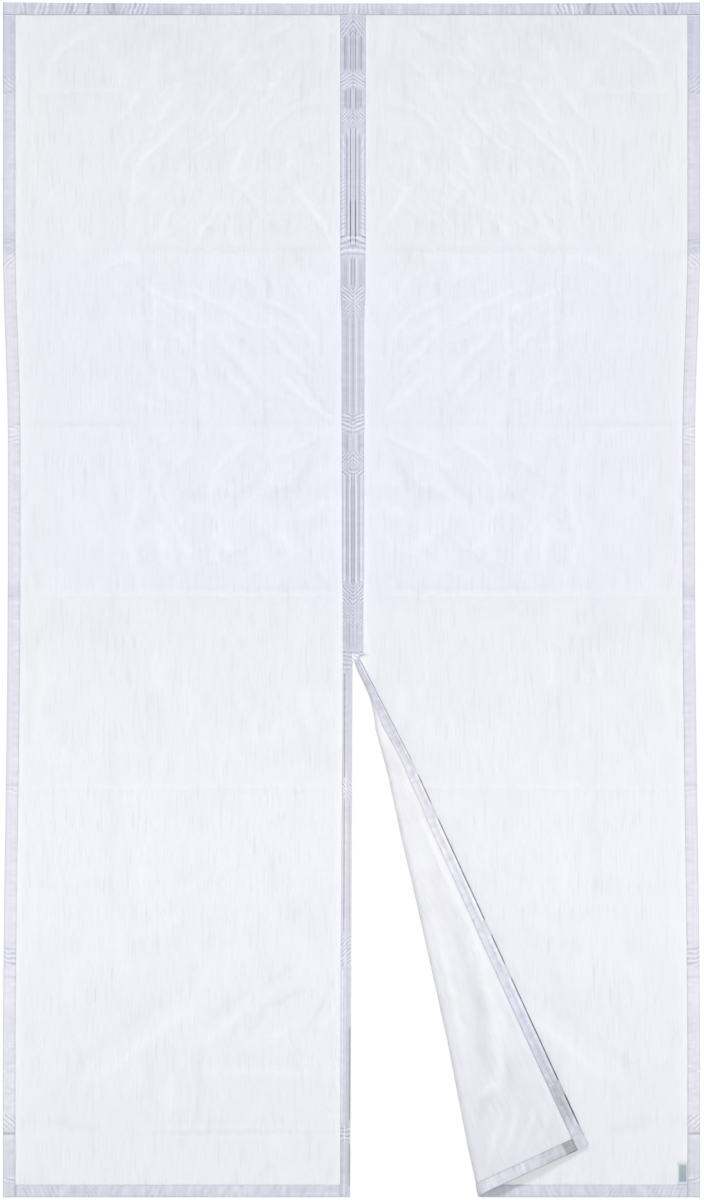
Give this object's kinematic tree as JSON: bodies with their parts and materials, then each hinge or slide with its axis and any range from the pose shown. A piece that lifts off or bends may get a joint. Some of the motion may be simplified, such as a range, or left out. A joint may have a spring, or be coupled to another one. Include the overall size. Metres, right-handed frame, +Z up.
{
  "type": "magnetic insect screen",
  "caption": "Sheer netting door screen with satin bound edges, magnets down its middle seam and one lower corner folded open.",
  "frame": {"origin": "centre of the back face of the loop tape sewn along the top edge, which lies on the door frame", "axes": "+Z up along the hanging screen, +X to the right seen from the front, and the front faces -Y"},
  "size_m": [1.4, 0.0247, 2.4],
  "materials": {
    "netting": "sheer white netting with a slight sheen",
    "binding": "satin, pale lilac grey",
    "magnet": "matt rubber magnet bar",
    "loop_tape": "soft loop pile",
    "label": "woven ribbon, plain"
  },
  "bodies": {
    "root": {"corner_label": "label", "left_bottom_binding": "binding", "left_centre_binding": "binding", "left_long_magnet_1": "magnet", "left_long_magnet_2": "magnet", "left_long_magnet_3": "magnet", "left_long_magnet_4": "magnet", "left_long_magnet_5": "magnet", "left_long_magnet_6": "magnet", "left_loop_tape": "loop_tape", "left_mesh_panel": "netting", "left_short_magnet_1": "magnet", "left_short_magnet_2": "magnet", "left_short_magnet_3": "magnet", "left_short_magnet_4": "magnet", "left_short_magnet_5": "magnet", "left_short_magnet_6": "magnet", "left_short_magnet_7": "magnet", "left_short_magnet_8": "magnet", "left_side_binding": "binding", "right_bottom_binding": "binding", "right_centre_binding": "binding", "right_long_magnet_1": "magnet", "right_long_magnet_2": "magnet", "right_long_magnet_3": "magnet", "right_long_magnet_4": "magnet", "right_long_magnet_5": "magnet", "right_long_magnet_6": "magnet", "right_loop_tape": "loop_tape", "right_mesh_panel": "netting", "right_short_magnet_1": "magnet", "right_short_magnet_2": "magnet", "right_short_magnet_3": "magnet", "right_short_magnet_4": "magnet", "right_short_magnet_5": "magnet", "right_short_magnet_6": "magnet", "right_short_magnet_7": "magnet", "right_short_magnet_8": "magnet", "right_side_binding": "binding", "top_binding": "binding", "top_loop_tape": "loop_tape"}
  },
  "joints": []
}
